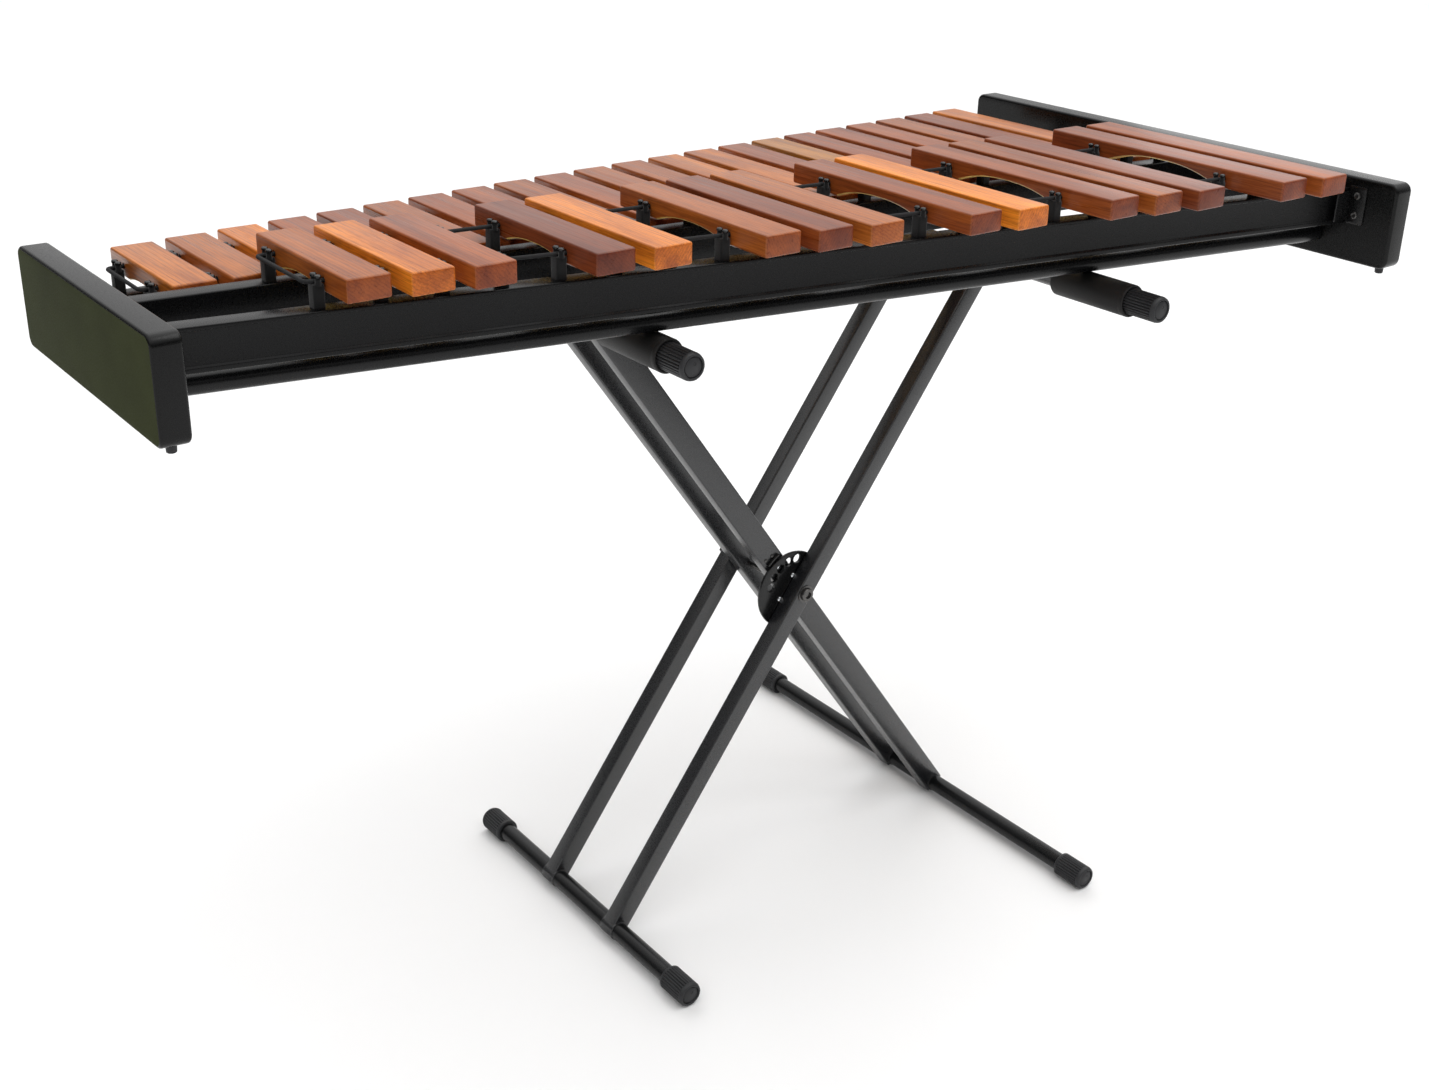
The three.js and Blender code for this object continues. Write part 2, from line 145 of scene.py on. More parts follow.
def bump(nt, bsdf, height, strength, distance):
    n = nt.nodes.new("ShaderNodeBump")
    n.inputs["Strength"].default_value = strength
    n.inputs["Distance"].default_value = distance
    nt.links.new(height, n.inputs["Height"])
    nt.links.new(n.outputs["Normal"], bsdf.inputs["Normal"])


def linear(c):
    """Display colour to the linear values a shader takes."""
    return tuple(v / 12.92 if v <= 0.04045 else ((v + 0.055) / 1.055) ** 2.4 for v in c)


def tint(nt, c):
    n = nt.nodes.new("ShaderNodeRGB")
    n.outputs["Color"].default_value = (*c, 1.0)
    return n.outputs["Color"]


def shade(c, k):
    return tuple(min(1.0, v * k) for v in c)


def wood(name, rgb, seed):
    """Oiled hardwood: broad figure, streaks and pores along the bar, tilted ring bands, darker ends."""
    rnd = random.Random(seed)
    m, nt, bsdf, tex = new_material(name)
    base = linear(rgb)
    off = (rnd.uniform(0, 9), rnd.uniform(0, 9), rnd.uniform(0, 9))
    turn = (0, rnd.choice((-1, 1)) * rnd.uniform(0.35, 1.1), rnd.uniform(-0.03, 0.03))
    figure = noise(nt, mapping(nt, tex, (30, 3.0, 30), off, turn), 1.0, 5, 0.6, 0.8)
    light = (min(1.0, base[0] * 1.40), min(1.0, base[1] * 1.75), base[2] * 1.15)
    amber = (base[0], base[1] * 1.15, base[2] * 0.85)
    body = ramp(nt, figure, [(0.30, shade(base, 0.66)), (0.48, amber), (0.68, light)])
    streak = noise(nt, mapping(nt, tex, (290, 6.5, 290), off, turn), 1.0, 4, 0.65, 0.5)
    lines = ramp(nt, streak, [(0.36, (0.60, 0.52, 0.46)), (0.52, (1, 1, 1)), (0.70, (1.0, 1.0, 1.0))])
    wave = nt.nodes.new("ShaderNodeTexWave")
    wave.inputs["Scale"].default_value = 1.0
    wave.inputs["Distortion"].default_value = 5.0
    wave.inputs["Detail"].default_value = 3.0
    wave.inputs["Detail Scale"].default_value = 1.2
    nt.links.new(mapping(nt, tex, (112, 5, 112), off, turn), wave.inputs["Vector"])
    bands = ramp(nt, wave.outputs["Fac"], [(0.0, (0.66, 0.60, 0.56)), (0.45, (1, 1, 1)), (1.0, (1, 1, 1))])
    pores = noise(nt, mapping(nt, tex, (1500, 38, 1500), off), 1.0, 2, 0.6)
    dark = ramp(nt, pores, [(0.36, (0.45, 0.38, 0.32)), (0.50, (1, 1, 1)), (1.0, (1, 1, 1))])
    colour = mix(nt, 0.60, body, bands, "MULTIPLY")
    colour = mix(nt, 0.58, colour, lines, "MULTIPLY")
    colour = mix(nt, 0.55, colour, dark, "MULTIPLY")
    facing = nt.nodes.new("ShaderNodeSeparateXYZ")
    nt.links.new(tex.outputs["Normal"], facing.inputs["Vector"])
    across = nt.nodes.new("ShaderNodeMath")
    across.operation = "ABSOLUTE"
    nt.links.new(facing.outputs["Y"], across.inputs[0])
    grain_end = remap(nt, across.outputs["Value"], 0.0, 1.0, 0.55, 0.95)
    colour = mix(nt, grain_end, colour, mix(nt, 1.0, colour, tint(nt, (0.80, 0.66, 0.80)), "MULTIPLY"))
    nt.links.new(colour, bsdf.inputs["Base Color"])
    bsdf.inputs["Specular Tint"].default_value = (1.0, 0.93, 0.84, 1.0)
    nt.links.new(remap(nt, streak, 0.26, 0.42, 0.3, 0.7), bsdf.inputs["Roughness"])
    bsdf.inputs["Specular IOR Level"].default_value = 0.30
    bsdf.inputs["Coat Weight"].default_value = 0.15
    bsdf.inputs["Coat Roughness"].default_value = 0.22
    bump(nt, bsdf, pores, 0.16, 0.0004)
    return m


def coated(name, rgb, rough, grain, strength, metal=0.0, spread=0.10, size=1.0, gloss=0.5):
    """Painted, moulded or plated surface: mottled tone, uneven gloss, fine surface grain."""
    m, nt, bsdf, tex = new_material(name)
    base = linear(rgb)
    blotch = noise(nt, mapping(nt, tex, (9, 9, 9)), 1.0, 6, 0.6)
    nt.links.new(
        ramp(nt, blotch, [(0.3, shade(base, 0.80)), (0.5, base), (0.72, shade(base, 1.22))]),
        bsdf.inputs["Base Color"])
    fine = noise(nt, mapping(nt, tex, (grain, grain, grain)), size, 3, 0.6)
    nt.links.new(remap(nt, fine, rough - spread, rough + spread, 0.3, 0.7), bsdf.inputs["Roughness"])
    bsdf.inputs["Metallic"].default_value = metal
    bsdf.inputs["Specular IOR Level"].default_value = gloss
    bump(nt, bsdf, fine, strength, 0.0003)
    return m


def braid(name, rgb):
    """Plaited cord: two crossing sets of fine diagonal strands."""
    m, nt, bsdf, tex = new_material(name)
    base = linear(rgb)
    sets = []
    for turn in (0.7, -0.7):
        w = nt.nodes.new("ShaderNodeTexWave")
        w.inputs["Scale"].default_value = 1.0
        w.inputs["Distortion"].default_value = 0.4
        nt.links.new(mapping(nt, tex, (520, 520, 520), turn=(0, 0, turn)), w.inputs["Vector"])
        sets.append(w.outputs["Fac"])
    lo = ramp(nt, sets[0], [(0.0, shade(base, 0.5)), (1.0, shade(base, 1.7))])
    hi = ramp(nt, sets[1], [(0.0, shade(base, 0.5)), (1.0, shade(base, 1.7))])
    nt.links.new(mix(nt, 0.5, lo, hi), bsdf.inputs["Base Color"])
    nt.links.new(remap(nt, sets[0], 0.75, 0.95), bsdf.inputs["Roughness"])
    bump(nt, bsdf, sets[0], 0.5, 0.0004)
    return m


PANEL_BLACK = coated("panel_black", (0.040, 0.041, 0.041), 0.24, 700, 0.04, gloss=0.22)
PANEL_FACE = coated("panel_face", (0.200, 0.216, 0.120), 0.66, 700, 0.08, gloss=0.04)
RAIL_BLACK = coated("rail_black", (0.040, 0.041, 0.044), 0.30, 900, 0.05, gloss=0.20)
POWDER = coated("powder_coat", (0.090, 0.093, 0.102), 0.30, 1400, 0.12, gloss=0.85)
TUBE_COAT = coated("tube_coat", (0.055, 0.057, 0.061), 0.28, 1200, 0.06, gloss=0.26)
PLATE_BLACK = coated("plate_black", (0.050, 0.051, 0.054), 0.26, 1200, 0.10, gloss=0.40)
RUBBER = coated("rubber", (0.15, 0.152, 0.160), 0.52, 1600, 0.25, gloss=0.4)
FOAM = coated("sleeve_rubber", (0.085, 0.080, 0.078), 0.58, 1600, 0.25, gloss=0.3)
VELVET = coated("post_rubber", (0.060, 0.061, 0.064), 0.88, 2200, 0.6, gloss=0.2)
VELVET.node_tree.nodes["Principled BSDF"].inputs["Sheen Weight"].default_value = 0.25
DARK_STEEL = coated("dark_steel", (0.36, 0.355, 0.35), 0.30, 900, 0.08, 1.0)
CHROME = coated("chrome", (0.86, 0.87, 0.88), 0.12, 500, 0.02, 1.0, 0.05)
CORD_MAT = braid("cord_braid", (0.09, 0.09, 0.095))


# ---------------------------------------------------------------- mesh helpers
def make(name, verts, faces, mats, body, face_mats=None, angle=32):
    """Smooth-shaded piece, sharp at edges over angle degrees, with faces outwards, riding on body."""
    me = bpy.data.meshes.new(name)
    me.from_pydata([tuple(c * MM for c in v) for v in verts], [], faces)
    for m in (mats if isinstance(mats, (list, tuple)) else [mats]):
        me.materials.append(m)
    if face_mats:
        me.polygons.foreach_set("material_index", face_mats)
    me.polygons.foreach_set("use_smooth", [True] * len(me.polygons))
    me.update()
    bm = bmesh.new()
    bm.from_mesh(me)
    bmesh.ops.remove_doubles(bm, verts=bm.verts, dist=1e-7)
    bmesh.ops.recalc_face_normals(bm, faces=bm.faces)
    bm.to_mesh(me)
    bm.free()
    me.set_sharp_from_angle(angle=math.radians(angle))
    o = bpy.data.objects.new(name, me)
    bpy.context.scene.collection.objects.link(o)
    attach(o, body)
    return o


def area(p):
    return sum(a[0] * b[1] - b[0] * a[1] for a, b in zip(p, p[1:] + p[:1])) / 2


def rounded(points, radius, steps=4):
    """Polygon with every corner rounded; radius is one number or one per corner."""
    n = len(points)
    radii = radius if isinstance(radius, (list, tuple)) else [radius] * n
    out = []
    for i, p in enumerate(points):
        r = radii[i]
        if r <= 0:
            out.append(tuple(p))
            continue
        p = Vector(p)
        a = (Vector(points[i - 1]) - p).normalized()
        b = (Vector(points[(i + 1) % n]) - p).normalized()
        half = math.acos(max(-1.0, min(1.0, a.dot(b)))) / 2
        centre = p + (a + b).normalized() * (r / math.sin(half))
        d = r / math.tan(half)
        s, e = p + a * d - centre, p + b * d - centre
        t0, t1 = math.atan2(s.y, s.x), math.atan2(e.y, e.x)
        while t1 - t0 > math.pi:
            t1 -= 2 * math.pi
        while t1 - t0 < -math.pi:
            t1 += 2 * math.pi
        for k in range(steps + 1):
            t = t0 + (t1 - t0) * k / steps
            out.append((centre.x + r * math.cos(t), centre.y + r * math.sin(t)))
    return out


def circle(cx, cy, r, n):
    turns = [2 * math.pi * k / n for k in range(n)]
    return [(cx + r * math.cos(t), cy + r * math.sin(t)) for t in turns]


def inset(points, d):
    """Moves a counter-clockwise outline inwards by d along its corner normals."""
    if d == 0:
        return list(points)
    out, n = [], len(points)
    for i in range(n):
        a, p, b = Vector(points[i - 1]), Vector(points[i]), Vector(points[(i + 1) % n])
        e1, e2 = (p - a), (b - p)
        if e1.length < 1e-6 or e2.length < 1e-6:
            e1 = e2 = e1 if e1.length > e2.length else e2
        e1, e2 = e1.normalized(), e2.normalized()
        nrm = Vector((-e1.y - e2.y, e1.x + e2.x))
        nrm.normalize()
        k = max(0.35, nrm.dot(Vector((-e1.y, e1.x))))
        q = p + nrm * (d / k)
        out.append((q.x, q.y))
    return out


def prism(outline, holes, t0, t1, place, edge=1.0, steps=3):
    """Extruded outline with rounded end edges. place(a, b, t) gives the point. Returns (verts, faces)."""
    if area(outline) < 0:
        outline = outline[::-1]
    rings = []
    for k in range(steps + 1):
        f = math.pi / 2 * k / steps
        rings.append((t0 + edge * (1 - math.cos(f)), edge * (1 - math.sin(f))))
    rings += [(t0 + t1 - t, d) for t, d in reversed(rings)]
    verts, faces, n = [], [], len(outline)
    for t, d in rings:
        verts += [place(a, b, t) for a, b in inset(outline, d)]
    for k in range(len(rings) - 1):
        for i in range(n):
            j = (i + 1) % n
            faces.append((k * n + i, k * n + j, (k + 1) * n + j, (k + 1) * n + i))
    for end, t in ((0, t0), (len(rings) - 1, t1)):
        loops = [inset(outline, edge)]
        index = [list(range(end * n, end * n + n))]
        for h in holes:
            h = h(t) if callable(h) else h
            index.append(list(range(len(verts), len(verts) + len(h))))
            verts += [place(a, b, t) for a, b in h]
            loops.append(h)
        flat = [i for part in index for i in part]
        tris = tessellate_polygon([[Vector((a, b, 0)) for a, b in lp] for lp in loops])
        for tri in tris:
            faces.append(tuple(flat[i] for i in (tri if end else tri[::-1])))
        if holes:
            if end == 0:
                first = index[1:]
            else:
                for near, far in zip(first, index[1:]):
                    m = len(near)
                    for i in range(m):
                        j = (i + 1) % m
                        faces.append((near[i], far[i], far[j], near[j]))
    return verts, faces


def lathe(profile, place, segs=48, ribs=0, depth=0.0, ribbed=lambda y: False):
    """Surface turned about an axis; profile is (along, radius). Ribs cut fine flutes where ribbed(along)."""
    verts, faces = [], []
    for y, r in profile:
        for k in range(segs):
            t = 2 * math.pi * k / segs
            cut = 1 - abs(math.sin(ribs * t / 2)) ** 0.9 if ribs and ribbed(y) and r > 2 else 0
            rr = r - depth * cut
            verts.append(place(rr * math.cos(t), rr * math.sin(t), y))
    for i in range(len(profile) - 1):
        for k in range(segs):
            j = (k + 1) % segs
            faces.append((i * segs + k, i * segs + j, (i + 1) * segs + j, (i + 1) * segs + k))
    faces.append(tuple(range(segs))[::-1])
    faces.append(tuple(range((len(profile) - 1) * segs, len(profile) * segs)))
    return verts, faces


def merge(parts):
    verts, faces, mats = [], [], []
    for v, f, m in parts:
        base = len(verts)
        verts += v
        faces += [tuple(i + base for i in q) for q in f]
        mats += [m] * len(f)
    return verts, faces, mats


def about_y(x, z):
    return lambda a, b, y: (x + a, y, z + b)


def turned_y(x, z, profile, **kw):
    return lathe(profile, about_y(x, z), **kw)


# ---------------------------------------------------------------- bars
def bar_piece(name, x, near, length, top, step, lines, material):
    """One bar: rounded edges, two cord holes, and a raw-wood arch between them that deepens with step."""
    far, low = near + length, top - BAR_T
    ys = [poly(c, step) for c in lines]
    slopes = [c[1] / PITCH for c in lines]
    a0, a1 = min(ys) + 11, max(ys) - 11
    arch = 3.5 + 10.5 * step / 21
    n = 26
    lower = [(a0 + (a1 - a0) * i / n, low + arch * (1 - abs(-1 + 2 * i / n) ** 2.4)) for i in range(1, n)]
    pts = [(near, low), (a0, low)] + lower + [(a1, low), (far, low), (far, top), (near, top)]
    radii = [2.1] + [0] * (n + 1) + [2.1, 2.1, 2.1]
    outline = rounded(pts, radii, 4)
    z = top - CORD_DEPTH
    holes = []
    for y, s in zip(ys, slopes):
        holes.append(lambda t, y=y, s=s: circle(y + s * (t - x), z, CORD_HOLE_R, 18))
    v, f = prism(outline, holes, x - BAR_W / 2, x + BAR_W / 2, lambda a, b, t: (t, a, b), 2.0, 4)
    o = make(name + "_wood", v, f, [material, RAW_WOOD], "keyboard", angle=40)
    for side in o.data.polygons:
        y = side.center.y / MM
        if side.normal.z < -0.25 and a0 < y < a1 and side.center.z / MM > low + 0.3:
            side.material_index = 1
    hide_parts(name)


RAW_WOOD = wood("raw_wood", (0.86, 0.66, 0.44), 7)
record_rgb = {m["slot"]: m["base_color"][:3] for m in frame["record"]["materials"]}
NAT_NOTES = "cbagfed"
SHARP_NOTES = {1: "as", 2: "gs", 3: "fs", 5: "ds", 6: "cs"}
for i in range(22):
    bar = f"bar_{NAT_NOTES[i % 7]}{8 - (i + 6) // 7}"
    length = poly(NAT_LENGTH, i)
    bar_piece(bar, NAT_X + PITCH * i, poly(NAT_FAR_END, i) - length, length, NAT_TOP, i,
              (NAT_NEAR, NAT_FAR), wood("wood_" + bar, record_rgb[bar], 100 + i))
for k in SHARP_GAPS:
    bar = f"bar_{SHARP_NOTES[k % 7]}{7 - k // 7}"
    p = k + 0.5
    bar_piece(bar, SHARP_X + PITCH * p, poly(SHARP_NEAR_END, p), poly(SHARP_LENGTH, p), SHARP_TOP, p,
              (SHARP_NEAR, SHARP_FAR), wood("wood_" + bar, record_rgb[bar], 300 + k))


# ---------------------------------------------------------------- end panels, feet, brackets
def panel(name, y0, y1, x0, x1):
    outline = rounded([(y0, 666), (y1, 666), (y1, 754), (y0, 754)], 9.5, 8)
    v, f = prism(outline, [], x0, x1, lambda a, b, t: (t, a, b), 3.0, 5)
    o = make(name + "_board", v, f, [PANEL_BLACK, PANEL_FACE], "keyboard")
    outward = 1 if x0 > 0 else -1
    for side in o.data.polygons:
        side.material_index = 1 if side.normal.x * outward > 0.98 else 0
    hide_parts(name)


panel("end_panel_high", -107.8, 193.8, -OUTER_X, -INNER_X)
panel("end_panel_low", -309.55, 288.4, INNER_X, OUTER_X)

studs = []
for x, y0, y1 in ((-604.5, -107.8, 193.8), (604.5, -309.55, 288.4)):
    for y in (y0 + 14, y1 - 14):
        prof = [(659.2, 0.5), (659.2, 3.4), (659.8, 4.1), (665.2, 4.4), (666.2, 4.4), (666.2, 0.5)]
        v, f = lathe(prof, lambda a, b, z, x=x, y=y: (x + a, y + b, z), segs=20)
        studs.append((v, f, 0))
v, f, _ = merge(studs)
o = make("panel_studs", v, f, RUBBER, "keyboard")


def bracket(name, x, side, y_rail):
    """Folded steel angle joining the front rail's face to the end panel, with two screws."""
    parts = []
    y0, y1 = y_rail - 20.5, y_rail - 0.6
    outline = rounded([(y0, 706), (y1, 706), (y1, 745), (y0, 745)], 2.5, 4)
    a, b = sorted((x - side * 0.1, x - side * 2.3))
    parts.append((*prism(outline, [], a, b, lambda p, q, t: (t, p, q), 0.6, 2), 0))
    ends = sorted((x - side * 0.2, x - side * 24))
    outline = rounded([(ends[0], 709), (ends[1], 709), (ends[1], 739), (ends[0], 739)], 2.0, 4)
    parts.append((*prism(outline, [], y1 - 2.0, y1, lambda p, q, t: (p, t, q), 0.6, 2), 0))
    for z in (715.5, 735.5):
        prof = [(1.9, 0.4), (3.0, 0.4), (3.0, 1.4), (4.0, 1.5), (4.3, 2.6), (3.6, 3.6), (1.9, 3.9)]
        v, f = lathe(prof, lambda p, q, t, z=z: (x - side * t, (y0 + y1) / 2 + p, z + q), segs=20)
        parts.append((v, f, 1))
    v, f, fm = merge(parts)
    o = make(name, v, f, [PLATE_BLACK, DARK_STEEL], "keyboard", fm)


bracket("bracket_low", INNER_X, 1, -255.6)


# ---------------------------------------------------------------- rails, posts, cords
def rail(name, coef, x_of, z0, z1, cord_z, steps, lip):
    """Rail along the line coef, from z0 to z1, with a post and two rounded clips at each of steps."""
    slope = coef[1] / PITCH
    at = lambda x: poly(coef, (x - x_of) / PITCH)
    half = 10.0
    if lip:
        pts = [(-half - 1.4, z0), (half, z0), (half, z1), (-half - 0.9, z1), (-half - 0.9, z1 - 3.0),
               (-half, z1 - 3.6), (-half, z0 + 6.2), (-half - 1.4, z0 + 4.4)]
        radii = [1.6, 1.3, 1.3, 1.0, 0.5, 0.4, 0.6, 1.1]
    else:
        pts = [(-half, z0), (half, z0), (half, z1), (-half, z1)]
        radii = 1.4
    outline = rounded(pts, radii, 3)
    v, f = prism(outline, [], -RUN_X, RUN_X, lambda a, b, t: (t, at(t) + a, b), 0.4, 1)
    o = make(name + "_beam", v, f, RAIL_BLACK, "keyboard")
    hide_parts(name)
    parts = []
    for s in steps:
        x, y = x_of + PITCH * s, poly(coef, s)
        place = lambda a, b, t, x=x, y=y: (x + a, y + slope * a + b, t)
        body = rounded([(-4.5, -5.3), (4.5, -5.3), (4.5, 5.3), (-4.5, 5.3)], 1.6, 4)
        parts.append((*prism(body, [], z1 - 0.5, cord_z - CORD_R - 0.1, place, 0.8, 2), 0))
        for d in (-1, 1):
            top = cord_z + 4.4
            spot = lambda a, b, t, x=x, y=y, d=d: (x + a, y + d * 4.0 + b, t)
            prof = [(cord_z - 3.2, 0.3), (cord_z - 3.2, 2.5), (top - 1.6, 2.3)]
            prof += [(top - 1.2, 1.9), (top - 1.2, 0.3)]
            parts.append((*lathe(prof, spot, segs=14), 0))
            prof = [(-1.4, 0.2), (-1.4, 2.2), (-0.9, 2.9), (0.3, 2.9), (1.1, 2.2), (1.4, 1.1), (1.4, 0.2)]
            prof = [(top + y, r) for y, r in prof]
            parts.append((*lathe(prof, spot, segs=16), 1))
    v, f, fm = merge(parts)
    o = make(name + "_posts", v, f, [VELVET, PLATE_BLACK], "keyboard", fm)


def cord(name, near, far, x_of, first, last, z):
    """Cord along both post rows, joined across the high end with rounded corners."""
    pts = []
    grid = lambda s0, s1, c: [(x_of + PITCH * s, poly(c, s), z) for s in (s0, s1)]
    pts += grid(last + 0.25, first - 0.18, near)
    pts += grid(first - 0.18, last + 0.25, far)
    r = 5.0
    path = [Vector(pts[0])]
    for i in (1, 2):
        p = Vector(pts[i])
        a = (Vector(pts[i - 1]) - p).normalized() * r
        b = (Vector(pts[i + 1]) - p).normalized() * r
        for k in range(7):
            t = k / 6
            path.append(p + a * (1 - t) ** 2 + b * t ** 2)
    path.append(Vector(pts[3]))
    verts, faces, n = [], [], 14
    for i, p in enumerate(path):
        d = (path[min(i + 1, len(path) - 1)] - path[max(i - 1, 0)]).normalized()
        side = d.cross(Vector((0, 0, 1))).normalized()
        for k in range(n):
            t = 2 * math.pi * k / n
            verts.append(tuple(p + side * (CORD_R * math.cos(t)) + Vector((0, 0, CORD_R * math.sin(t)))))
    for i in range(len(path) - 1):
        for k in range(n):
            j = (k + 1) % n
            faces.append((i * n + k, i * n + j, (i + 1) * n + j, (i + 1) * n + k))
    faces += [tuple(range(n))[::-1], tuple(range((len(path) - 1) * n, len(path) * n))]
    o = make(name + "_braid", verts, faces, CORD_MAT, "keyboard")
    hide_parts(name)


nat_posts = [i - 0.5 for i in range(23)]
sharp_posts = sorted({s for k in SHARP_GAPS for s in (k, k + 1)})
NAT_CORD, SHARP_CORD = NAT_TOP - CORD_DEPTH, SHARP_TOP - CORD_DEPTH
rail("rail_sharps_near", SHARP_NEAR, SHARP_X, 705, 742, SHARP_CORD, sharp_posts, True)
rail("rail_sharps_far", SHARP_FAR, SHARP_X, 705, 742, SHARP_CORD, sharp_posts, False)
rail("rail_naturals_near", NAT_NEAR, NAT_X, 678.95, 711, NAT_CORD, nat_posts, False)
rail("rail_naturals_far", NAT_FAR, NAT_X, 678.95, 711, NAT_CORD, nat_posts, False)
cord("cord_sharps", SHARP_NEAR, SHARP_FAR, SHARP_X, sharp_posts[0], sharp_posts[-1], SHARP_CORD)
cord("cord_naturals", NAT_NEAR, NAT_FAR, NAT_X, -0.5, 21.5, NAT_CORD)

tube_y = lambda x: -31.4 - 190.4 * (x + RUN_X) / (2 * RUN_X)
v, f = lathe([(-RUN_X, 8.2), (-RUN_X + 0.8, 9.0), (RUN_X - 0.8, 9.0), (RUN_X, 8.2)],
             lambda a, b, t: (t, tube_y(t) + a, 687.95 + b), segs=56)
o = make("stretcher_round", v, f, TUBE_COAT, "keyboard")
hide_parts("stretcher_tube")


# ---------------------------------------------------------------- stand
def leg_pair(node, body, side, leg, arm_y, start):
    """Two parallel legs with a collar at each end, joined by the arm tube. Returns foot and arm x."""
    w, d, off = leg["w"], leg["d"], leg["off"]
    foot_x, arm_x = PIVOT_X + side * SPAN_X, PIVOT_X - side * SPAN_X
    dx, dz = -side * math.sin(LEAN), math.cos(LEAN)
    nx, nz = dz, -dx
    parts = []
    for f in (-1, 1):
        yc = MID_Y + f * off
        outline = rounded([(-w / 2, -d / 2), (w / 2, -d / 2), (w / 2, d / 2), (-w / 2, d / 2)], 1.7, 4)
        place = lambda a, b, t, yc=yc: (foot_x + dx * t + nx * a, yc + b, FOOT_Z + dz * t + nz * a)
        parts.append((*prism(outline, [], start, 2 * LEG + 4, place, 0.8, 2), 0))
        near, far = yc - d / 2, yc + d / 2
        prof = [(near - 1.6, 9.7), (near - 1.2, 10.4), (far + 1.2, 10.4), (far + 1.6, 9.7)]
        for x, z in ((arm_x, ARM_Z), (foot_x, FOOT_Z)):
            parts.append((*turned_y(x, z, prof, segs=40), 0))
    prof = [(arm_y[0] + 6, TUBE_R), (arm_y[1] - 6, TUBE_R)]
    parts.append((*turned_y(arm_x, ARM_Z, prof, segs=40), 0))
    v, f, fm = merge(parts)
    o = make(node + "_tubes", v, f, POWDER, body, fm)
    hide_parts(node)
    return foot_x, arm_x


foot_a, arm_a = leg_pair("leg_frame_a", "frame_a", -1, LEG_A, (-268.3, 309.55), -7.5)
foot_b, arm_b = leg_pair("leg_frame_b", "frame_b", 1, LEG_B, (-158.6, 206.2), -3.5)


def simple_tube(node, body, x, z, y0, y1):
    v, f = turned_y(x, z, [(y0, 8.6), (y0 + 0.8, TUBE_R), (y1 - 0.8, TUBE_R), (y1, 8.6)], segs=48)
    o = make(node + "_round", v, f, TUBE_COAT, body)
    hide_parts(node)


simple_tube("foot_tube_a", "frame_a", foot_a, FOOT_Z, -164.6, 212.2)
simple_tube("foot_tube_b", "frame_b", foot_b, FOOT_Z, -256.0, 303.55)


def end_face(r):
    """Moulded end seen from its centre outwards: flat disc, deep groove, raised rim."""
    disc = [(0.7, 0.3), (0.7, r - 3.6), (0.9, r - 3.4)]
    groove = [(2.2, r - 3.3), (2.2, r - 2.6)]
    return disc + groove + [(0.3, r - 2.4), (0.0, r - 2.0), (0.0, r - 1.2), (0.9, r)]


def end_mark(x, z, end, f):
    """Small moulding mark, a shallow ring beside the centre of the end face."""
    prof = [(end - f * 1.3, 0.3), (end - f * 0.6, 0.9), (end - f * 0.6, 1.5), (end - f * 1.3, 1.7)]
    return turned_y(x + 1.5, z + 2.8, prof, segs=16)


def foot_cap(node, body, x, end, f):
    """Ribbed rubber cap whose closed end is at y = end and faces the side f."""
    prof = end_face(12.0) + [(2.2, 12.6), (3.6, 12.95), (4.0, 13.0), (4.2, 13.0), (32.8, 13.0), (33.0, 13.0)]
    prof += [(35.4, 13.0), (36.5, 12.0), (36.5, 9.9)]
    prof = [(end - f * y, r) for y, r in prof]
    v, fc = turned_y(x, FOOT_Z, prof, ribbed=lambda y: 4.1 < abs(y - end) < 32.9, **CAP_RIBS)
    parts = [(v, fc, 0), (*end_mark(x, FOOT_Z, end, f), 1)]
    v, fc, fm = merge(parts)
    o = make(node + "_rubber", v, fc, [RUBBER, VELVET], body, fm, angle=50)
    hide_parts(node)


foot_cap("foot_cap_a_near", "floor_caps_a", foot_a, -170.6, -1)
foot_cap("foot_cap_a_far", "floor_caps_a", foot_a, 218.2, 1)
foot_cap("foot_cap_b_near", "floor_caps_b", foot_b, -262.0, -1)
foot_cap("foot_cap_b_far", "floor_caps_b", foot_b, 309.55, 1)


def arm_pad(node, body, x, end, f):
    """Ribbed end plug with a smooth rubber sleeve behind it; end and f as for foot_cap."""
    plug = end_face(12.2) + [(2.4, 12.7), (3.6, 12.95), (4.0, 13.0), (4.2, 13.0), (39.0, 13.0), (39.0, 9.9)]
    plug = [(end - f * y, r) for y, r in plug]
    v, fc = turned_y(x, ARM_Z, plug, ribbed=lambda y: 4.1 < abs(y - end) < 39.1, **CAP_RIBS)
    sleeve = [(37.2, 13.05), (36.2, 14.2), (36.0, 14.9), (36.4, 15.6), (37.4, 16.0), (41.0, 16.0)]
    sleeve += [(41.6, 15.85), (42.2, 16.0), (128.0, 16.0), (129.5, 15.0), (129.5, 9.9)]
    sv, sf = turned_y(x, ARM_Z, [(end - f * y, r) for y, r in sleeve], segs=72)
    v, fc, fm = merge([(v, fc, 0), (*end_mark(x, ARM_Z, end, f), 1), (sv, sf, 2)])
    o = make(node + "_rubber", v, fc, [RUBBER, VELVET, FOAM], body, fm, angle=50)
    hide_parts(node)


arm_pad("arm_pad_a_near", "pads_a", arm_a, -268.3, -1)
arm_pad("arm_pad_a_far", "pads_a", arm_a, 309.55, 1)
arm_pad("arm_pad_b_near", "frame_b", arm_b, -158.6, -1)
arm_pad("arm_pad_b_far", "frame_b", arm_b, 206.2, 1)

